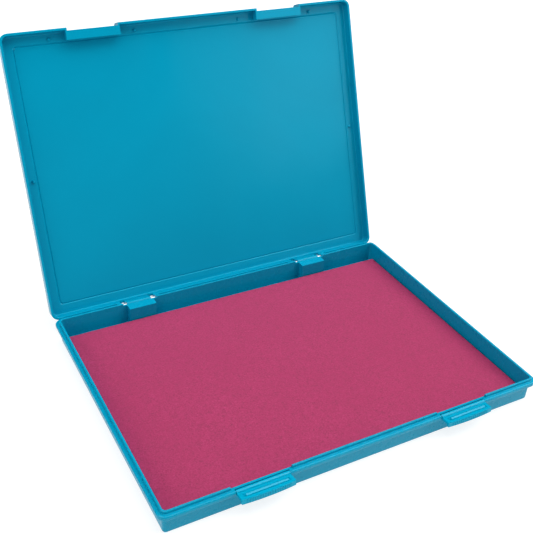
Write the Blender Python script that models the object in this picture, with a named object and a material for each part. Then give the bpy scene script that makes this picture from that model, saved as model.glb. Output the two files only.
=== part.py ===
"""Hinged ink pad case: a shallow tray with a cloth-covered pad, a lid on two pins and two flap latches.

The case lies open on its base. +X runs along the latch side, +Y points to the hinges and +Z up.
Sizes are in millimetres and MM turns them into metres.
"""

import math

import bmesh
import bpy
from mathutils import Vector

MM = 0.001

# Case outline, shared by the tray flange and the lid.
CASE_WIDTH = 220.0
CASE_DEPTH = 160.5
CORNER_RADIUS = 4.6
INNER_CORNER_RADIUS = 1.8
CORNER_STEPS = 7
RUNNING_GAP = 0.3

# Tray section, as distances in from the flange edge and heights above the table.
FLANGE_TOP = 13.0
FLANGE_THICKNESS = 2.6
FLANGE_EDGE_RADIUS = 0.7
OVERHANG = 2.5
WALL_DRAFT = 0.2
BASE_EDGE_RADIUS = 0.9
FLOOR_THICKNESS = 1.8
LEDGE_WIDTH = 2.0
LIP_HEIGHT = 1.5
LIP_THICKNESS = 1.2
LIP_EDGE_RADIUS = 0.35
LIP_FILLET = 0.3
INNER_WALL_DRAFT = 1.0

# Lid section.
LID_HEIGHT = 7.0
LID_RIM_THICKNESS = 1.4
LID_PLATE_THICKNESS = 1.8
LID_EDGE_RADIUS = 1.2
PANEL_INSET = 7.4
PANEL_STEP = 0.4
PANEL_GROOVE = 0.3
PANEL_GROOVE_HALF = 0.45
LID_OPEN_ANGLE = 110.0

# Hinges, each centred at plus and minus STATION_X.
STATION_X = 58.5
HINGE_OFFSET_Y = 0.15
HINGE_DROP = 1.75
PIN_RADIUS = 0.95
PIN_CLEARANCE = 0.08
KNUCKLE_WALL = 0.72
LUG_WIDTH = 15.0
LUG_SIDE_GAP = 3.0
NOTCH_FLOOR = 13.3
REAR_NOTCH_DEPTH = 2.3
LUG_SLOT_HEIGHT = 3.0
EAR_THICKNESS = 2.6
EAR_END_WALL = 0.6
STOP_LENGTH = 4.2
STOP_GAP = 0.25
BOSS_WIDTH = 16.6
BOSS_DEPTH = 4.9
BOSS_WALL = 1.5

# Latches.
LATCH_WIDTH = 28.0
LATCH_INSET = 1.0
LATCH_DROP = 0.85
LATCH_BOW = 0.7
LATCH_THICKNESS = 1.4
LATCH_OPEN_ANGLE = 83.0
GRIP_LENGTH = 1.3
GRIP_HEIGHT = 2.8
GRIP_RIBS = 18
GRIP_RIB_HEIGHT = 0.2
BARREL_RADIUS = 0.95
SHOULDER_RADIUS = 1.5
STUB_RADIUS = 0.5
STUB_LENGTH = 1.5
HOOK_GAP = 0.4
BAR_LENGTH = 1.1
BAR_HEIGHT = 0.9
BAR_END_MARGIN = 3.0
FACE_POCKET_DEPTH = 0.25

# Keeper box in the lid behind each latch.
KEEPER_END_WALL = 1.5
KEEPER_SIDE_GAP = 0.6
KEEPER_DEPTH = 5.0
KEEPER_RECESS = 1.6
KEEPER_SHELF = 2.2
KEEPER_WALL = 1.1
KEEPER_POCKET = 2.7

# Small moulded details inside the lid.
STUD_RADIUS = 0.9
STUD_HEIGHT = 1.1
STUD_INSET = 5.1
STUD_END_DISTANCE = 27.4
STUD_INNER_X = 33.0
RIB_PROUD = 0.35
RIB_WIDTH = 0.9
RIB_HEIGHT = 2.4
RIB_SPACING = 53.5

# Pad layers.
PAD_SIDE_GAP = 0.3
PAD_REAR_GAP = 0.4
PAD_TOP = 6.0
PAD_CORNER_RADIUS = 1.5
PAD_EDGE_RADIUS = 0.7
BOARD_THICKNESS = 1.0
COVER_THICKNESS = 0.5
LAYER_GAP = 0.1
FELT_GAP = 0.2

# Derived heights and places.
FLANGE_BOTTOM = FLANGE_TOP - FLANGE_THICKNESS
LIP_TOP = FLANGE_TOP + LIP_HEIGHT
RIM_INSET = LEDGE_WIDTH + LIP_THICKNESS
FLOOR_INSET = RIM_INSET + INNER_WALL_DRAFT
LID_RIM = FLANGE_TOP + RUNNING_GAP
LID_TOP = LID_RIM + LID_HEIGHT
LID_UNDER = LID_TOP - LID_PLATE_THICKNESS
HINGE_Y = CASE_DEPTH / 2 + HINGE_OFFSET_Y
HINGE_Z = FLANGE_TOP - HINGE_DROP
LATCH_Y = -CASE_DEPTH / 2 + LATCH_INSET
LATCH_Z = FLANGE_TOP - LATCH_DROP
KEEPER_INSET = KEEPER_RECESS + KEEPER_DEPTH
KEEPER_WIDTH = LATCH_WIDTH + 2 * KEEPER_END_WALL
KEEPER_TOP = KEEPER_SHELF + KEEPER_POCKET
LIP_GAP_WIDTH = KEEPER_WIDTH + 2 * KEEPER_SIDE_GAP
BAR_WIDTH = LATCH_WIDTH - 2 * BAR_END_MARGIN
BAR_START = LID_RIM + KEEPER_SHELF + HOOK_GAP - LATCH_Z
LATCH_REACH = BAR_START + BAR_LENGTH + GRIP_LENGTH + LATCH_BOW
NOTCH_WIDTH = LUG_WIDTH + 2 * LUG_SIDE_GAP
KNUCKLE_RADIUS = PIN_RADIUS + PIN_CLEARANCE + KNUCKLE_WALL
STUD_OUTER_X = CASE_WIDTH / 2 - STUD_END_DISTANCE
STATIONS = (("left", -STATION_X), ("right", STATION_X))


def clear_scene():
    for item in list(bpy.data.objects):
        bpy.data.objects.remove(item)


def material(name, colour, roughness, metallic=0.0):
    made = bpy.data.materials.new(name)
    made.use_nodes = True
    shader = made.node_tree.nodes["Principled BSDF"]
    shader.inputs["Base Color"].default_value = (*colour, 1.0)
    shader.inputs["Roughness"].default_value = roughness
    shader.inputs["Metallic"].default_value = metallic
    made.diffuse_color = (*colour, 1.0)
    return made


def arc(centre, radius, start, end, steps):
    """Points (across, up) on an arc, with the angles in degrees."""
    points = []
    for step in range(steps + 1):
        angle = math.radians(start + (end - start) * step / steps)
        across = centre[0] + radius * math.cos(angle)
        points.append((across, centre[1] + radius * math.sin(angle)))
    return points


def ring(box, inset, radius, height):
    """One level of a rounded rectangle. box is (low x, low y, high x, high y) before the inset."""
    low_x, low_y, high_x, high_y = box
    reach = inset + radius
    corners = (
        (high_x - reach, low_y + reach, -90.0),
        (high_x - reach, high_y - reach, 0.0),
        (low_x + reach, high_y - reach, 90.0),
        (low_x + reach, low_y + reach, 180.0),
    )
    points = []
    for across, along, start in corners:
        for spot in arc((across, along), radius, start, start + 90.0, CORNER_STEPS):
            points.append((spot[0], spot[1], height))
    return points


def new_object(name, points, faces, origin=(0.0, 0.0, 0.0)):
    """An object whose points are given in case coordinates and whose origin is at origin."""
    local = [(Vector(point) - Vector(origin)) * MM for point in points]
    mesh = bpy.data.meshes.new(name)
    mesh.from_pydata(local, [], faces)
    work = bmesh.new()
    work.from_mesh(mesh)
    bmesh.ops.recalc_face_normals(work, faces=work.faces)
    work.to_mesh(mesh)
    work.free()
    made = bpy.data.objects.new(name, mesh)
    made.location = Vector(origin) * MM
    bpy.context.scene.collection.objects.link(made)
    return made


def loft(name, rings, origin=(0.0, 0.0, 0.0)):
    """A closed solid through the rings, capped at the first and the last."""
    count = len(rings[0])
    points = [point for level in rings for point in level]
    faces = [list(range(count))]
    for level in range(len(rings) - 1):
        for spot in range(count):
            after = (spot + 1) % count
            low = level * count
            high = low + count
            faces.append((low + spot, low + after, high + after, high + spot))
    last = (len(rings) - 1) * count
    faces.append(list(range(last, last + count)))
    return new_object(name, points, faces, origin)


def block(name, low, high, origin=(0.0, 0.0, 0.0)):
    outline = ((low[1], low[2]), (high[1], low[2]), (high[1], high[2]), (low[1], high[2]))
    return prism(name, outline, low[0], high[0], origin)


def prism(name, outline, start, end, origin=(0.0, 0.0, 0.0)):
    """An outline of (y, z) points drawn out along x."""
    first = [(start, y, z) for y, z in outline]
    second = [(end, y, z) for y, z in outline]
    return loft(name, [first, second], origin)


def rod(name, centre, radius, start, end, origin=(0.0, 0.0, 0.0), steps=32):
    """A round bar along x. centre is (y, z)."""
    outline = arc(centre, radius, 0.0, 360.0 - 360.0 / steps, steps - 1)
    return prism(name, outline, start, end, origin)


def combine(target, tool, operation):
    """Joins or cuts target with tool, then removes tool."""
    change = target.modifiers.new(operation, "BOOLEAN")
    change.operation = operation
    change.solver = "EXACT"
    change.object = tool
    bpy.context.view_layer.update()
    graph = bpy.context.evaluated_depsgraph_get()
    old = target.data
    result = bpy.data.meshes.new_from_object(target.evaluated_get(graph))
    target.modifiers.clear()
    target.data = result
    bpy.data.meshes.remove(old)
    bpy.data.objects.remove(tool)


def join(target, tool):
    combine(target, tool, "UNION")


def cut(target, tool):
    combine(target, tool, "DIFFERENCE")


def finish(item, look, sharp=32.0):
    item.data.materials.clear()
    item.data.materials.append(look)
    item.data.shade_smooth()
    item.data.set_sharp_from_angle(angle=math.radians(sharp))


def case_box():
    return (-CASE_WIDTH / 2, -CASE_DEPTH / 2, CASE_WIDTH / 2, CASE_DEPTH / 2)


def case_ring(inset, height):
    radius = max(CORNER_RADIUS - inset, INNER_CORNER_RADIUS)
    return ring(case_box(), inset, radius, height)


def tray_section():
    """Distance in and height round the tray section, from the underside to the floor."""
    bottom = OVERHANG + WALL_DRAFT
    section = []
    section += arc((bottom + BASE_EDGE_RADIUS, BASE_EDGE_RADIUS), BASE_EDGE_RADIUS, 270, 180, 3)
    section.append((OVERHANG, FLANGE_BOTTOM))
    edge = FLANGE_EDGE_RADIUS
    section += arc((edge, FLANGE_BOTTOM + edge), edge, 270, 180, 3)
    section += arc((edge, FLANGE_TOP - edge), edge, 180, 90, 3)
    fillet = LIP_FILLET
    section += arc((LEDGE_WIDTH - fillet, FLANGE_TOP + fillet), fillet, 270, 360, 5)
    lip = LIP_EDGE_RADIUS
    section += arc((LEDGE_WIDTH + 0.05 + lip, LIP_TOP - lip), lip, 180, 90, 3)
    section += arc((RIM_INSET - lip, LIP_TOP - lip), lip, 90, 0, 3)
    section.append((FLOOR_INSET, FLOOR_THICKNESS + 0.6))
    section.append((FLOOR_INSET + 0.2, FLOOR_THICKNESS + 0.15))
    section.append((FLOOR_INSET + 0.7, FLOOR_THICKNESS))
    return section


def add_hinge_seat(tray, centre):
    """Boss, rear notch, two ears with open stops and the pin bore of one hinge."""
    rear = CASE_DEPTH / 2
    half = BOSS_WIDTH / 2
    face = rear - RIM_INSET - BOSS_DEPTH
    low = (centre - half, face, FLOOR_THICKNESS / 2)
    join(tray, block("boss", low, (centre + half, rear - RIM_INSET + 0.4, NOTCH_FLOOR)))
    half = NOTCH_WIDTH / 2
    low = (centre - half, rear - RIM_INSET - 0.5, NOTCH_FLOOR)
    cut(tray, block("lip_notch", low, (centre + half, rear + 2, LIP_TOP + 2)))
    low = (centre - half, rear - REAR_NOTCH_DEPTH, FLANGE_BOTTOM - 1)
    cut(tray, block("flange_notch", low, (centre + half, rear + 2, LIP_TOP + 2)))
    half = BOSS_WIDTH / 2 - BOSS_WALL
    low = (centre - half, face + BOSS_WALL, -1)
    cut(tray, block("core", low, (centre + half, rear + 2, NOTCH_FLOOR - BOSS_WALL)))
    half = NOTCH_WIDTH / 2
    for side in (-1, 1):
        inner = centre + side * half
        outer = centre + side * (half + EAR_THICKNESS)
        add_ear(tray, min(inner, outer), max(inner, outer))
    reach = half + EAR_THICKNESS - EAR_END_WALL
    bore = PIN_RADIUS + PIN_CLEARANCE
    cut(tray, rod("bore", (HINGE_Y, HINGE_Z), bore, centre - reach, centre + reach))


def add_ear(tray, start, end):
    """A knuckle plate behind the flange, with a nose that stops the lid when it is fully open."""
    rear = CASE_DEPTH / 2
    root = rear - FLANGE_EDGE_RADIUS - 0.6
    web = (
        (root, FLANGE_BOTTOM + 0.2),
        (HINGE_Y, HINGE_Z - KNUCKLE_RADIUS),
        (HINGE_Y, FLANGE_TOP - 0.05),
        (root, FLANGE_TOP - 0.05),
    )
    join(tray, prism("web", web, start, end))
    join(tray, rod("knuckle", (HINGE_Y, HINGE_Z), KNUCKLE_RADIUS, start, end))
    turn = math.radians(LID_OPEN_ANGLE)
    along = Vector((math.sin(turn), math.cos(turn)))
    away = Vector((-math.cos(turn), math.sin(turn)))
    top = HINGE_OFFSET_Y - STOP_GAP
    nose = []
    low = top - 1.6
    for reach, height in ((0.3, low), (2.6, low), (STOP_LENGTH, top - 0.8), (STOP_LENGTH, top), (0.3, top)):
        spot = along * reach + away * height
        nose.append((HINGE_Y + spot[0], HINGE_Z + spot[1]))
    join(tray, prism("nose", nose, start, end))


def add_latch_seat(tray, centre):
    """Lip gap, flange notch and stub bores of one latch."""
    front = -CASE_DEPTH / 2
    half = LIP_GAP_WIDTH / 2
    low = (centre - half, front - 1, FLANGE_TOP)
    cut(tray, block("lip_gap", low, (centre + half, front + RIM_INSET + 1, LIP_TOP + 1)))
    half = LATCH_WIDTH / 2 + RUNNING_GAP
    depth = LATCH_INSET + BARREL_RADIUS + 0.12
    low = (centre - half, front - 1, FLANGE_BOTTOM - 1)
    cut(tray, block("flap_notch", low, (centre + half, front + depth, FLANGE_TOP + 1)))
    reach = half + STUB_LENGTH
    bore = STUB_RADIUS + PIN_CLEARANCE
    cut(tray, rod("stub_bore", (LATCH_Y, LATCH_Z), bore, centre - reach, centre + reach, steps=20))


def build_tray(look):
    rings = [case_ring(inset, height) for inset, height in tray_section()]
    tray = loft("base_tray", rings)
    for _, centre in STATIONS:
        add_hinge_seat(tray, centre)
        add_latch_seat(tray, centre)
    finish(tray, look)


def lid_section():
    """Distance in and height round the closed lid section, from the inner panel to the outer one."""
    inner = LID_RIM_THICKNESS + 0.2
    section = [(PANEL_INSET + PANEL_GROOVE_HALF, LID_UNDER + PANEL_STEP)]
    section.append((PANEL_INSET, LID_UNDER + PANEL_STEP + PANEL_GROOVE))
    section.append((PANEL_INSET - PANEL_GROOVE_HALF, LID_UNDER + 0.7 * PANEL_STEP))
    section.append((inner + 1.1, LID_UNDER + 0.05))
    section += arc((inner + 0.7, LID_UNDER - 0.7), 0.7, 90, 180, 3)
    section.append((LID_RIM_THICKNESS, LID_RIM + 0.35))
    section.append((LID_RIM_THICKNESS - 0.25, LID_RIM))
    section.append((0.2, LID_RIM))
    section.append((0.06, LID_RIM + 0.06))
    section.append((0.0, LID_RIM + 0.2))
    edge = LID_EDGE_RADIUS
    section += arc((0.15 + edge, LID_TOP - edge), edge, 180, 90, 4)
    section.append((PANEL_INSET - 0.3, LID_TOP))
    section.append((PANEL_INSET + 0.3, LID_TOP + PANEL_STEP))
    return section


def add_keeper(lid, centre, origin):
    """The box behind one latch: a shelf at the rim with an open pocket over it."""
    front = -CASE_DEPTH / 2
    half = KEEPER_WIDTH / 2
    low = (centre - half, front + 0.8, LID_RIM)
    high = (centre + half, front + KEEPER_INSET, LID_UNDER + PANEL_STEP + 0.4)
    join(lid, block("keeper", low, high, origin))
    half = LATCH_WIDTH / 2 + 2 * RUNNING_GAP
    low = (centre - half, front - 1, LID_RIM - 1)
    high = (centre + half, front + KEEPER_RECESS, LID_TOP + 1)
    cut(lid, block("recess", low, high, origin))
    low = (centre - half, front - 1, LID_RIM + KEEPER_SHELF)
    high = (centre + half, front + KEEPER_INSET - KEEPER_WALL, LID_RIM + KEEPER_TOP)
    cut(lid, block("pocket", low, high, origin))


def add_lug(lid, centre, origin):
    """The arm that carries the lid on its pin."""
    rear = CASE_DEPTH / 2
    half = NOTCH_WIDTH / 2
    low = (centre - half, rear - LID_RIM_THICKNESS - 0.6, LID_RIM - 1)
    cut(lid, block("slots", low, (centre + half, rear + 1, LID_RIM + LUG_SLOT_HEIGHT), origin))
    half = LUG_WIDTH / 2
    web = (
        (rear - 1.2, LID_RIM + 0.1),
        (HINGE_Y - 1.2, HINGE_Z - 0.6),
        (HINGE_Y + 1.6, HINGE_Z - 0.2),
        (HINGE_Y + 1.5, HINGE_Z + 0.9),
        (rear + 0.4, LID_RIM + 4.4),
        (rear - 1.2, LID_RIM + 4.4),
    )
    join(lid, prism("web", web, centre - half, centre + half, origin))
    join(lid, rod("knuckle", (HINGE_Y, HINGE_Z), KNUCKLE_RADIUS, centre - half, centre + half, origin))
    bore = PIN_RADIUS + PIN_CLEARANCE
    cut(lid, rod("bore", (HINGE_Y, HINGE_Z), bore, centre - half - 1, centre + half + 1, origin))


def add_stud(lid, across, along, origin):
    """A low round stud on the underside of the lid plate."""
    levels = []
    steps = ((STUD_RADIUS * 1.1, 0.4), (STUD_RADIUS, -STUD_HEIGHT * 0.6), (STUD_RADIUS * 0.6, -STUD_HEIGHT))
    for radius, drop in steps:
        spots = arc((across, along), radius, 0, 330, 11)
        levels.append([(spot[0], spot[1], LID_UNDER + drop) for spot in spots])
    join(lid, loft("stud", levels, origin))


def add_lid_details(lid, origin):
    front = -CASE_DEPTH / 2
    side = CASE_WIDTH / 2
    for across in (-STUD_OUTER_X, -STUD_INNER_X, STUD_INNER_X, STUD_OUTER_X):
        add_stud(lid, across, front + STUD_INSET, origin)
    for sign in (-1, 1):
        add_stud(lid, sign * (side - STUD_INSET), 0.0, origin)
        for along in (-RIB_SPACING / 2, RIB_SPACING / 2):
            face = side - LID_RIM_THICKNESS - 0.2 - RIB_PROUD
            spots = sorted((sign * face, sign * (face + 0.9)))
            low = (spots[0], along - RIB_WIDTH / 2, LID_RIM + LIP_HEIGHT + 0.2)
            high = (spots[1], along + RIB_WIDTH / 2, LID_RIM + LIP_HEIGHT + 0.2 + RIB_HEIGHT)
            join(lid, block("rib", low, high, origin))


def build_lid(look):
    origin = (0.0, HINGE_Y, HINGE_Z)
    rings = [case_ring(inset, height) for inset, height in lid_section()]
    lid = loft("lid", rings, origin)
    for _, centre in STATIONS:
        add_keeper(lid, centre, origin)
        add_lug(lid, centre, origin)
    add_lid_details(lid, origin)
    lid.rotation_euler.x = math.radians(-LID_OPEN_ANGLE)
    finish(lid, look)


def build_pin(name, centre, look):
    half = NOTCH_WIDTH / 2 + EAR_THICKNESS - EAR_END_WALL - RUNNING_GAP
    origin = (centre, HINGE_Y, HINGE_Z)
    pin = rod(name, (HINGE_Y, HINGE_Z), PIN_RADIUS, centre - half, centre + half, origin)
    finish(pin, look)


def latch_outline(inner, outer, half, steps=12):
    """Levels across the latch, each a rectangle whose outer end follows the bowed edge."""
    levels = []
    for step in range(steps + 1):
        across = -half + 2 * half * step / steps
        bow = LATCH_BOW * (1 - (across / half) ** 2)
        levels.append((across, inner, outer - LATCH_BOW + bow))
    return levels


def bowed_slab(name, centre, half, start, reach, low, high, origin):
    """A slab drawn along x: from start up to the bowed reach, and from low to high outward."""
    rings = []
    for across, inner, outer in latch_outline(start, reach, half):
        corners = ((low, inner), (high, inner), (high, outer), (low, outer))
        rings.append([(centre + across, LATCH_Y - out, LATCH_Z + up) for out, up in corners])
    return loft(name, rings, origin)


def build_latch(name, centre, look):
    """The latch is drawn closed against the lid, then swung open about its stubs."""
    origin = (centre, LATCH_Y, LATCH_Z)
    half = LATCH_WIDTH / 2
    latch = bowed_slab(name, centre, half, 0.0, LATCH_REACH, 0.0, LATCH_THICKNESS, origin)
    start = LATCH_REACH - GRIP_LENGTH - LATCH_BOW
    grip = (centre, half, start, LATCH_REACH, LATCH_THICKNESS - 0.2, GRIP_HEIGHT, origin)
    join(latch, bowed_slab("grip", *grip))
    join(latch, rod("barrel", (LATCH_Y, LATCH_Z), BARREL_RADIUS, centre - half, centre + half, origin))
    reach = half + RUNNING_GAP + STUB_LENGTH - 0.3
    join(latch, rod("stubs", (LATCH_Y, LATCH_Z), STUB_RADIUS, centre - reach, centre + reach, origin, 20))
    join(latch, prism("shoulder", latch_shoulder(), centre - half, centre + half, origin))
    pocket = BAR_WIDTH / 2 + 1.2
    low = (centre - pocket, LATCH_Y - FACE_POCKET_DEPTH, LATCH_Z + BAR_START - 0.9)
    cut(latch, block("pocket", low, (centre + pocket, LATCH_Y + 1, LATCH_Z + BAR_START + BAR_LENGTH), origin))
    add_latch_bar(latch, centre, origin)
    add_grip_ribs(latch, centre, origin)
    latch.rotation_euler.x = math.radians(LATCH_OPEN_ANGLE)
    finish(latch, look)


def latch_shoulder():
    """The rounded rise from the flap's inner face up to the top of its barrel."""
    middle = LATCH_Y + BARREL_RADIUS - SHOULDER_RADIUS
    end = math.degrees(math.acos((SHOULDER_RADIUS - BARREL_RADIUS) / SHOULDER_RADIUS))
    outline = arc((middle, LATCH_Z), SHOULDER_RADIUS, 0, end, 8)
    outline.append((LATCH_Y - 0.4, outline[-1][1]))
    outline.append((LATCH_Y - 0.4, LATCH_Z))
    return outline


def add_latch_bar(latch, centre, origin):
    half = BAR_WIDTH / 2
    low = LATCH_Z + BAR_START
    high = low + BAR_LENGTH
    tip = LATCH_Y + BAR_HEIGHT
    root = LATCH_Y - FACE_POCKET_DEPTH - 0.3
    outline = ((root, low), (tip - 0.2, low), (tip, low + 0.2), (tip - 0.5, high), (root, high))
    join(latch, prism("bar", outline, centre - half, centre + half, origin))


def add_grip_ribs(latch, centre, origin):
    """Fine upright ribs on the free end of the grip."""
    half = LATCH_WIDTH / 2 - 2.5
    pitch = 2 * half / GRIP_RIBS
    for number in range(GRIP_RIBS):
        across = -half + pitch * (number + 0.5)
        edge = LATCH_REACH - LATCH_BOW * (across / (LATCH_WIDTH / 2)) ** 2
        low = (centre + across - pitch / 4, LATCH_Y - GRIP_HEIGHT + 0.3, LATCH_Z + edge - 0.4)
        high = (centre + across + pitch / 4, LATCH_Y - 0.5, LATCH_Z + edge + GRIP_RIB_HEIGHT)
        join(latch, block("rib", low, high, origin))


def pad_box():
    side = CASE_WIDTH / 2 - FLOOR_INSET - PAD_SIDE_GAP
    front = -CASE_DEPTH / 2 + FLOOR_INSET + PAD_SIDE_GAP
    rear = CASE_DEPTH / 2 - RIM_INSET - BOSS_DEPTH - PAD_REAR_GAP
    return (-side, front, side, rear)


def build_pad(board_look, felt_look, cloth_look):
    box = pad_box()
    radius = PAD_CORNER_RADIUS
    base = FLOOR_THICKNESS + LAYER_GAP
    top = base + BOARD_THICKNESS
    inset = 0.5
    board = loft("pad_board", [ring(box, inset, radius, base), ring(box, inset, radius, top)])
    finish(board, board_look)
    base = top + LAYER_GAP
    under = PAD_TOP - COVER_THICKNESS
    inset = COVER_THICKNESS + FELT_GAP
    inner = radius - 0.4
    felt = loft("pad_felt", [ring(box, inset, inner, base), ring(box, inset, inner, under - LAYER_GAP)])
    finish(felt, felt_look)
    edge = PAD_EDGE_RADIUS
    levels = [ring(box, COVER_THICKNESS, inner, under), ring(box, COVER_THICKNESS, inner, base)]
    levels.append(ring(box, 0.0, radius, base))
    for inward, height in arc((edge, PAD_TOP - edge), edge, 180, 90, 4):
        levels.append(ring(box, inward, radius, height))
    finish(loft("pad_cover", levels), cloth_look)


def build():
    clear_scene()
    shell = material("turquoise_plastic", (0.0, 0.30, 0.47), 0.32)
    latch = material("latch_plastic", (0.0, 0.33, 0.50), 0.30)
    steel = material("pin_steel", (0.62, 0.62, 0.63), 0.30, 1.0)
    board = material("grey_board", (0.45, 0.43, 0.40), 0.90)
    felt = material("inked_felt", (0.30, 0.03, 0.09), 0.95)
    cloth = material("magenta_cloth", (0.46, 0.06, 0.155), 0.90)
    build_tray(shell)
    build_lid(shell)
    for side, centre in STATIONS:
        build_pin("hinge_pin_" + side, centre, steel)
        build_latch("latch_" + side, centre, latch)
    build_pad(board, felt, cloth)


build()
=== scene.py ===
"""The ink pad's looks: moulded turquoise plastic, an inked cloth pad, and a white studio.

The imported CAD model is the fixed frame. Only the soft pad layers are built here, as cloth-like pieces
that stand for their CAD solids. Everything else keeps its CAD shape and gets a procedural material.
"""

import math

import bmesh
import bpy
import numpy as np
from mathutils import Matrix, Vector


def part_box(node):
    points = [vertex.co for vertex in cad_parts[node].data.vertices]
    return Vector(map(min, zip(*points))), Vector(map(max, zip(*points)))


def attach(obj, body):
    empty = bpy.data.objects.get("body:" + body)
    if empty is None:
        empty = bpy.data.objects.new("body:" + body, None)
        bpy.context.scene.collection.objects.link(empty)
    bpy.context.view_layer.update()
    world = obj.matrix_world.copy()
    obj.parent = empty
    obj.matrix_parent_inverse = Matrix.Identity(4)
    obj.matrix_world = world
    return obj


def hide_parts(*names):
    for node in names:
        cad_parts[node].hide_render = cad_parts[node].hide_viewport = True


MM = 0.001

# Plastic colours, linear.
CASE_COLOUR = (0.0, 0.288, 0.445)
LATCH_COLOUR = (0.0, 0.330, 0.500)

# Pad colours, linear.
CLOTH_COLOUR = (0.350, 0.046, 0.115)
CLOTH_DARK = (0.240, 0.040, 0.088)
CLOTH_LIGHT = (0.420, 0.060, 0.147)

# Pad shape.
PAD_CORNER = 1.6 * MM
PAD_ROLL = 0.9 * MM
PAD_CELL = 2.4 * MM
PAD_RISE_CAP = 0.30 * MM
PAD_SIDEWAYS_SHARE = 0.3
CLOTH_FRAMES = 20
CLOTH_PRESSURE = 4.0
CORE_ROLL = 0.6 * MM
CORE_CELL = 6.0 * MM

# Edges sharper than this many degrees stay crisp when a solid is shaded smooth.
SHARP_EDGE = 32.0

# Camera, in the shared frame.
CAMERA_PLACE = Vector((-0.1985, -0.31556, 0.30472))
CAMERA_AZIMUTH = -29.80
CAMERA_ELEVATION = 32.52
CAMERA_ROLL = 3.22
CAMERA_LENS = 57.10
CAMERA_SENSOR = 36.0

# Studio. A softbox is azimuth, elevation, distance, (width, height) and watts.
SOFTBOXES = {
    "overhead": (0.0, 90.0, 1.5, (1.6, 1.6), 23.0),
    "front_right": (40.0, 20.0, 2.0, (0.9, 0.55), 2.6),
    "left": (-75.0, 32.0, 1.8, (1.3, 1.1), 10.8),
    "right": (80.0, 45.0, 1.8, (1.6, 1.3), 22.0),
}
FLOOR_HALF = 9.0
FLOOR_GLOW_NEAR = 0.80
FLOOR_GLOW_FAR = 1.0
FLOOR_HORIZON = 0.60
FLOOR_GLOW_SPAN = (0.36, 0.95)
FLOOR_FADE_SPAN = (1.15, 2.6)
FLOOR_GREY = (0.27, 0.29)
BACKDROP_LEVEL = 0.60
CEILING_LEVEL = 0.03
BACKDROP_SPAN = (0.18, 0.45)
AIM = (0.0, 0.0, 0.03)
TONE_TOE = 0.035
TONE_POINTS = (0.02, 0.05, 0.10, 0.18, 0.30, 0.50, 0.75)


# --- small helpers -------------------------------------------------------------------------------


class Graph:
    """Adds shader nodes to one material and links them."""

    def __init__(self, name):
        self.material = bpy.data.materials.new(name)
        self.material.use_nodes = True
        self.tree = self.material.node_tree
        self.shader = self.tree.nodes["Principled BSDF"]
        self.place = self.add("ShaderNodeTexCoord").outputs["Object"]

    def add(self, kind, **settings):
        node = self.tree.nodes.new(kind)
        for key, value in settings.items():
            setattr(node, key, value)
        return node

    def link(self, source, target):
        self.tree.links.new(source, target)

    def noise(self, scale, detail=2.0, roughness=0.5, distortion=0.0, source=None):
        node = self.add("ShaderNodeTexNoise")
        node.inputs["Scale"].default_value = scale
        node.inputs["Detail"].default_value = detail
        node.inputs["Roughness"].default_value = roughness
        node.inputs["Distortion"].default_value = distortion
        self.link(source or self.place, node.inputs["Vector"])
        return node.outputs["Fac"]

    def stretched(self, scale):
        node = self.add("ShaderNodeMapping")
        node.inputs["Scale"].default_value = scale
        self.link(self.place, node.inputs["Vector"])
        return node.outputs["Vector"]

    def ramp(self, source, stops):
        node = self.add("ShaderNodeValToRGB")
        points = node.color_ramp.elements
        while len(points) < len(stops):
            points.new(0.5)
        for point, (position, colour) in zip(points, stops):
            point.position = position
            point.color = (*colour, 1.0)
        self.link(source, node.inputs["Fac"])
        return node.outputs["Color"]

    def fit(self, source, low, high, start=0.3, end=0.7):
        node = self.add("ShaderNodeMapRange")
        for name, value in (("From Min", start), ("From Max", end), ("To Min", low), ("To Max", high)):
            node.inputs[name].default_value = value
        self.link(source, node.inputs["Value"])
        return node.outputs["Result"]

    def mix(self, first, second, share):
        node = self.add("ShaderNodeMix", data_type="RGBA")
        factor = node.inputs["Factor"]
        if isinstance(share, float):
            factor.default_value = share
        else:
            self.link(share, factor)
        for name, value in (("A", first), ("B", second)):
            socket = [s for s in node.inputs if s.name == name and s.type == "RGBA"][0]
            if isinstance(value, tuple):
                socket.default_value = (*value, 1.0)
            else:
                self.link(value, socket)
        return [s for s in node.outputs if s.type == "RGBA"][0]

    def bump(self, source, strength, distance, under=None):
        node = self.add("ShaderNodeBump")
        node.inputs["Strength"].default_value = strength
        node.inputs["Distance"].default_value = distance
        self.link(source, node.inputs["Height"])
        if under is not None:
            self.link(under, node.inputs["Normal"])
        return node.outputs["Normal"]

    def colour(self, source):
        self.link(source, self.shader.inputs["Base Color"])

    def rough(self, source):
        self.link(source, self.shader.inputs["Roughness"])

    def normal(self, source):
        self.link(source, self.shader.inputs["Normal"])

    def set(self, **values):
        for key, value in values.items():
            self.shader.inputs[key.replace("_", " ")].default_value = value


def shade(colour, factor):
    return tuple(min(1.0, part * factor) for part in colour)


# --- materials -----------------------------------------------------------------------------------


def moulded_plastic(name, colour, roughness, warp, shine):
    """Glossy injection-moulded plastic: faint flow marks, fine grain and a slow warp of the wall."""
    graph = Graph(name)
    flow = graph.noise(9.0, 3.0, 0.55, 0.8, graph.stretched((1.0, 0.45, 1.0)))
    stops = ((0.30, shade(colour, 0.955)), (0.55, colour), (0.78, shade(colour, 1.035)))
    graph.colour(graph.ramp(flow, stops))
    wear = graph.noise(140.0, 4.0, 0.6)
    graph.rough(graph.fit(wear, roughness - 0.01, roughness + 0.02))
    slow = graph.bump(graph.noise(16.0, 1.0, 0.4, 0.4), 1.0, warp)
    grain = graph.bump(graph.noise(1500.0, 2.0, 0.5), 0.05, 0.00001, slow)
    graph.normal(grain)
    graph.set(IOR=1.46, Specular_IOR_Level=shine)
    return graph.material


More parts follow.
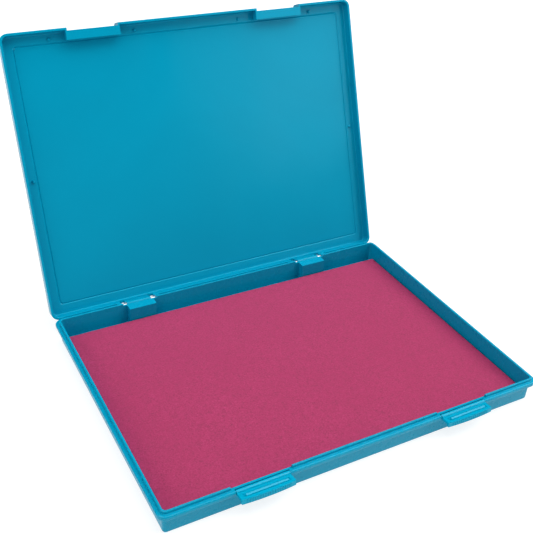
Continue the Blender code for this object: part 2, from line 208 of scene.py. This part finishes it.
def drawn_steel(name):
    graph = Graph(name)
    streak = graph.noise(300.0, 4.0, 0.6, 0.0, graph.stretched((0.05, 1.0, 1.0)))
    graph.colour(graph.ramp(streak, ((0.35, (0.50, 0.50, 0.51)), (0.65, (0.68, 0.68, 0.69)))))
    graph.rough(graph.fit(streak, 0.24, 0.40))
    graph.normal(graph.bump(streak, 0.25, 0.00002))
    graph.set(Metallic=1.0)
    return graph.material


def grey_board(name):
    graph = Graph(name)
    fleck = graph.noise(900.0, 5.0, 0.7)
    cloud = graph.noise(60.0, 3.0)
    stops = ((0.30, (0.30, 0.29, 0.27)), (0.50, (0.45, 0.43, 0.40)), (0.72, (0.56, 0.54, 0.50)))
    base = graph.ramp(fleck, stops)
    graph.colour(graph.mix(base, (0.40, 0.30, 0.30), graph.fit(cloud, 0.0, 0.35)))
    graph.rough(graph.fit(fleck, 0.82, 0.95))
    graph.normal(graph.bump(fleck, 0.5, 0.00006))
    return graph.material


def inked_felt(name):
    graph = Graph(name)
    fibre = graph.noise(1300.0, 5.0, 0.7, 1.6)
    soak = graph.noise(45.0, 3.0)
    stops = ((0.30, (0.17, 0.015, 0.045)), (0.55, (0.30, 0.030, 0.090)), (0.75, (0.42, 0.06, 0.14)))
    dry = graph.ramp(fibre, stops)
    graph.colour(graph.mix(dry, (0.20, 0.015, 0.06), graph.fit(soak, 0.0, 0.5)))
    graph.rough(graph.fit(fibre, 0.85, 1.0))
    graph.normal(graph.bump(fibre, 0.8, 0.00012))
    graph.set(Sheen_Weight=0.25, Sheen_Roughness=0.5)
    return graph.material


def inked_cloth(name):
    """Fine fleecy cloth soaked with magenta ink: speckled pile, soft clouds of ink and a faint weave."""
    graph = Graph(name)
    speck = graph.noise(1150.0, 3.0, 0.72, 0.6)
    clump = graph.noise(420.0, 3.0, 0.62, 0.4)
    cloud = graph.noise(26.0, 3.0, 0.55, 0.3)
    pile = graph.mix(speck, clump, 0.30)
    base = graph.ramp(pile, ((0.36, CLOTH_DARK), (0.50, CLOTH_COLOUR), (0.66, CLOTH_LIGHT)))
    graph.colour(graph.mix(base, shade(CLOTH_COLOUR, 0.93), graph.fit(cloud, 0.0, 0.40)))
    graph.rough(graph.fit(clump, 0.80, 0.97))
    weave = graph.add("ShaderNodeTexWave", wave_type="BANDS", bands_direction="DIAGONAL")
    weave.inputs["Scale"].default_value = 520.0
    weave.inputs["Distortion"].default_value = 3.0
    weave.inputs["Detail"].default_value = 2.0
    graph.link(graph.place, weave.inputs["Vector"])
    threads = graph.bump(weave.outputs["Fac"], 0.25, 0.00004)
    graph.normal(graph.bump(pile, 0.55, 0.00022, threads))
    graph.set(Sheen_Weight=0.18, Sheen_Roughness=0.45, Specular_IOR_Level=0.25)
    graph.shader.inputs["Sheen Tint"].default_value = (0.9, 0.35, 0.55, 1.0)
    return graph.material


def white_floor(name):
    """A white light table: it glows a little more away from the object, then fades into the backdrop."""
    graph = Graph(name)
    dust = graph.noise(6.0, 2.0)
    dark, pale = FLOOR_GREY
    graph.colour(graph.ramp(dust, ((0.3, (dark, dark, dark)), (0.7, (pale, pale, pale)))))
    graph.set(Roughness=0.9, Specular_IOR_Level=0.1)
    far = graph.add("ShaderNodeVectorMath", operation="LENGTH")
    graph.link(graph.place, far.inputs[0])
    glow = graph.fit(far.outputs["Value"], FLOOR_GLOW_NEAR, FLOOR_GLOW_FAR, *FLOOR_GLOW_SPAN)
    fade = graph.fit(far.outputs["Value"], 1.0, FLOOR_HORIZON, *FLOOR_FADE_SPAN)
    product = graph.add("ShaderNodeMath", operation="MULTIPLY")
    graph.link(glow, product.inputs[0])
    graph.link(fade, product.inputs[1])
    graph.link(product.outputs["Value"], graph.shader.inputs["Emission Strength"])
    graph.shader.inputs["Emission Color"].default_value = (1.0, 1.0, 1.0, 1.0)
    return graph.material


# --- soft pieces ---------------------------------------------------------------------------------


def corner_points(low, high, inset, radius, cell):
    """Points round a rounded rectangle, evenly spaced along its sides, as (x, y)."""
    radius = max(radius - inset, 0.2 * MM)
    left, front = low[0] + inset, low[1] + inset
    right, back = high[0] - inset, high[1] - inset
    points = []
    corners = (
        ((right - radius, front + radius), -90.0, (right, back - radius)),
        ((right - radius, back - radius), 0.0, (left + radius, back)),
        ((left + radius, back - radius), 90.0, (left, front + radius)),
        ((left + radius, front + radius), 180.0, (right - radius, front)),
    )
    across = max(2, round((high[0] - low[0]) / cell))
    along = max(2, round((high[1] - low[1]) / cell))
    for number, (centre, start, goal) in enumerate(corners):
        for step in range(4):
            angle = math.radians(start + 30.0 * step)
            x = centre[0] + radius * math.cos(angle)
            y = centre[1] + radius * math.sin(angle)
            points.append((x, y))
        steps = along if number % 2 == 0 else across
        begin = points[-1]
        for step in range(1, steps):
            share = step / steps
            x = begin[0] + (goal[0] - begin[0]) * share
            y = begin[1] + (goal[1] - begin[1]) * share
            points.append((x, y))
    return points


def pad_form(name, low, high, roll, cell):
    """A closed soft slab: flat underside, upright sides, a rolled top edge and a flat top, with the sides
    cut about a cell apart.
    """
    levels = [(0.6 * roll, low[2]), (0.0, low[2] + 0.3 * roll)]
    side_top = high[2] - roll
    levels.append((0.0, side_top))
    for step in range(1, 5):
        angle = math.radians(22.5 * step)
        levels.append((roll * (1.0 - math.cos(angle)), side_top + roll * math.sin(angle)))
    work = bmesh.new()
    rings = []
    for inset, height in levels:
        spots = corner_points(low, high, inset, PAD_CORNER, cell)
        rings.append([work.verts.new((x, y, height)) for x, y in spots])
    count = len(rings[0])
    for lower, upper in zip(rings, rings[1:]):
        for spot in range(count):
            after = (spot + 1) % count
            work.faces.new((lower[spot], lower[after], upper[after], upper[spot]))
    work.faces.new(list(reversed(rings[0])))
    work.faces.new(rings[-1])
    mesh = bpy.data.meshes.new(name)
    work.to_mesh(mesh)
    work.free()
    made = bpy.data.objects.new(name, mesh)
    bpy.context.scene.collection.objects.link(made)
    return made


def cut_grid(item, low, high, cell):
    """Cuts the flat top and underside into cells along x and y."""
    work = bmesh.new()
    work.from_mesh(item.data)
    for axis in (0, 1):
        count = max(2, round((high[axis] - low[axis]) / cell))
        for step in range(1, count):
            place = Vector((0.0, 0.0, 0.0))
            place[axis] = low[axis] + (high[axis] - low[axis]) * step / count
            normal = Vector((0.0, 0.0, 0.0))
            normal[axis] = 1.0
            flat = [face for face in work.faces if abs(face.normal.z) > 0.99]
            edges = {edge for face in flat for edge in face.edges}
            verts = {vert for face in flat for vert in face.verts}
            geometry = list(flat) + list(edges) + list(verts)
            bmesh.ops.bisect_plane(work, geom=geometry, plane_co=place, plane_no=normal, dist=1e-7)
    work.to_mesh(item.data)
    work.free()


def swell(item, fixed_below, cap):
    """Swells the top in a short cloth simulation under pressure, then holds each point's rise to the cap."""
    rest = np.array([vert.co for vert in item.data.vertices])
    pins = item.vertex_groups.new(name="pins")
    held = [vert.index for vert in item.data.vertices if vert.co.z < fixed_below]
    pins.add(held, 1.0, "REPLACE")
    cloth = item.modifiers.new("Cloth", "CLOTH")
    settings = cloth.settings
    settings.quality = 6
    settings.mass = 0.25
    settings.tension_stiffness = 18.0
    settings.compression_stiffness = 18.0
    settings.shear_stiffness = 8.0
    settings.bending_stiffness = 2.0
    settings.use_pressure = True
    settings.uniform_pressure_force = CLOTH_PRESSURE
    settings.vertex_group_mass = "pins"
    settings.effector_weights.gravity = 0.0
    cloth.collision_settings.use_collision = False
    cloth.point_cache.frame_start = 1
    cloth.point_cache.frame_end = CLOTH_FRAMES
    scene = bpy.context.scene
    for frame_number in range(1, CLOTH_FRAMES + 1):
        scene.frame_set(frame_number)
    graph = bpy.context.evaluated_depsgraph_get()
    result = bpy.data.meshes.new_from_object(item.evaluated_get(graph))
    moved = np.array([vert.co for vert in result.vertices])
    scene.frame_set(1)
    item.modifiers.remove(cloth)
    item.vertex_groups.clear()
    bpy.data.meshes.remove(result)
    shift = moved - rest
    length = np.linalg.norm(shift, axis=1)
    limit = cap * np.tanh(length / cap)
    scale = np.where(length > 1e-9, limit / np.maximum(length, 1e-9), 0.0)
    shift *= scale[:, None]
    shift[:, :2] *= PAD_SIDEWAYS_SHARE
    for vert, move in zip(item.data.vertices, shift):
        vert.co = vert.co + Vector(move)


def build_cloth_pad(look):
    """The cloth-covered pad, a little inside its CAD solid so that the swell fills it."""
    low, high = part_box("pad_cover")
    low, high = low.copy(), high.copy()
    high.z -= PAD_RISE_CAP * 0.5
    pad = pad_form("pad_cloth", low, high, PAD_ROLL, PAD_CELL)
    cut_grid(pad, low, high, PAD_CELL)
    swell(pad, low.z + 0.5 * (high.z - low.z), PAD_RISE_CAP)
    pad.data.shade_smooth()
    pad.data.materials.append(look)
    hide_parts("pad_cover")
    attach(pad, "tray")


def build_felt_core(look):
    """The inked felt under the cloth."""
    low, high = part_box("pad_felt")
    core = pad_form("felt_core", low, high, CORE_ROLL, CORE_CELL)
    core.data.shade_smooth()
    core.data.materials.append(look)
    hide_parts("pad_felt")
    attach(core, "tray")


# --- stage ---------------------------------------------------------------------------------------


def add_camera():
    """The camera: azimuth 0 looks along +Y, and the roll turns it about its own line of sight."""
    azimuth = math.radians(CAMERA_AZIMUTH)
    elevation = math.radians(CAMERA_ELEVATION)
    roll = math.radians(CAMERA_ROLL)
    back = Vector(
        (
            math.sin(azimuth) * math.cos(elevation),
            -math.cos(azimuth) * math.cos(elevation),
            math.sin(elevation),
        )
    )
    level = Vector((0.0, 0.0, 1.0)).cross(back).normalized()
    upright = back.cross(level)
    right = level * math.cos(roll) + upright * math.sin(roll)
    up = upright * math.cos(roll) - level * math.sin(roll)
    data = bpy.data.cameras.new("photo_camera")
    data.lens = CAMERA_LENS
    data.sensor_width = CAMERA_SENSOR
    data.clip_start = 0.01
    data.clip_end = 50.0
    camera = bpy.data.objects.new("photo_camera", data)
    turn = Matrix((right, up, back)).transposed().to_4x4()
    camera.matrix_world = Matrix.Translation(CAMERA_PLACE) @ turn
    bpy.context.scene.collection.objects.link(camera)
    bpy.context.scene.camera = camera


def add_softbox(name, place, size, watts):
    data = bpy.data.lights.new(name, "AREA")
    data.shape = "RECTANGLE"
    data.size, data.size_y = size
    data.energy = watts
    light = bpy.data.objects.new(name, data)
    aim = Vector(AIM) - Vector(place)
    light.rotation_mode = "QUATERNION"
    light.rotation_quaternion = aim.to_track_quat("-Z", "Y")
    light.location = place
    bpy.context.scene.collection.objects.link(light)


def light_place(azimuth, elevation, distance):
    """A point round the object. Azimuth 0 is in front, towards -Y, and 90 is towards +X."""
    turn, rise = math.radians(azimuth), math.radians(elevation)
    level = distance * math.cos(rise)
    return (level * math.sin(turn), -level * math.cos(turn), distance * math.sin(rise))


def studio_world():
    """Dim overhead, with a pale glow low round the horizon that serves as the backdrop."""
    world = bpy.data.worlds.new("studio")
    world.use_nodes = True
    tree = world.node_tree
    place = tree.nodes.new("ShaderNodeTexCoord")
    split = tree.nodes.new("ShaderNodeSeparateXYZ")
    tree.links.new(place.outputs["Generated"], split.inputs["Vector"])
    fade = tree.nodes.new("ShaderNodeMapRange")
    fade.interpolation_type = "SMOOTHSTEP"
    low, high = BACKDROP_SPAN
    levels = (("To Min", BACKDROP_LEVEL), ("To Max", CEILING_LEVEL))
    for name, value in (("From Min", low), ("From Max", high), *levels):
        fade.inputs[name].default_value = value
    tree.links.new(split.outputs["Z"], fade.inputs["Value"])
    tree.links.new(fade.outputs["Result"], tree.nodes["Background"].inputs["Strength"])
    tree.nodes["Background"].inputs["Color"].default_value = (1.0, 1.0, 1.0, 1.0)
    bpy.context.scene.world = world


def tone_curve():
    """A camera-like response: a soft toe that deepens the darks and leaves white where it is."""
    settings = bpy.context.scene.view_settings
    settings.view_transform = "Standard"
    settings.look = "None"
    settings.use_curve_mapping = True
    mapping = settings.curve_mapping
    curve = mapping.curves[3]
    for light in TONE_POINTS:
        curve.points.new(light, light * light * (1.0 + TONE_TOE) / (light + TONE_TOE))
    mapping.update()


def add_stage():
    floor = bpy.data.objects.new("floor", bpy.data.meshes.new("floor"))
    work = bmesh.new()
    bmesh.ops.create_grid(work, x_segments=1, y_segments=1, size=FLOOR_HALF)
    work.to_mesh(floor.data)
    work.free()
    floor.data.materials.append(white_floor("floor_white"))
    bpy.context.scene.collection.objects.link(floor)
    for name, (azimuth, elevation, distance, size, watts) in SOFTBOXES.items():
        add_softbox(name, light_place(azimuth, elevation, distance), size, watts)
    studio_world()
    tone_curve()


# --- assembly ------------------------------------------------------------------------------------


def dress(node, look):
    """Gives one CAD node its material, leaving its shape alone."""
    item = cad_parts[node]
    item.data.materials.clear()
    item.data.materials.append(look)
    item.data.shade_smooth()
    item.data.set_sharp_from_angle(angle=math.radians(SHARP_EDGE))


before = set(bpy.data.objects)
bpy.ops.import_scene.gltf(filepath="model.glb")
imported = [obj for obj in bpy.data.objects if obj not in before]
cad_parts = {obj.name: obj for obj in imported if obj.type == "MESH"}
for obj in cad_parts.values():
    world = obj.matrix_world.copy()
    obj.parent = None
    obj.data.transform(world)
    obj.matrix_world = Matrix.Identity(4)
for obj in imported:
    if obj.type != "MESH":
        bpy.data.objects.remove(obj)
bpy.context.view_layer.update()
add_camera()
tray_look = moulded_plastic("turquoise_tray", CASE_COLOUR, 0.27, 0.0002, 0.36)
lid_look = moulded_plastic("turquoise_lid", CASE_COLOUR, 0.19, 0.0010, 0.24)
latch_look = moulded_plastic("turquoise_latch", LATCH_COLOUR, 0.24, 0.0001, 0.36)
steel_look = drawn_steel("pin_wire")
dress("base_tray", tray_look)
dress("lid", lid_look)
for side in ("left", "right"):
    dress("latch_" + side, latch_look)
    dress("hinge_pin_" + side, steel_look)
dress("pad_board", grey_board("board_grey"))
build_cloth_pad(inked_cloth("cloth_magenta"))
build_felt_core(inked_felt("felt_inked"))
add_stage()
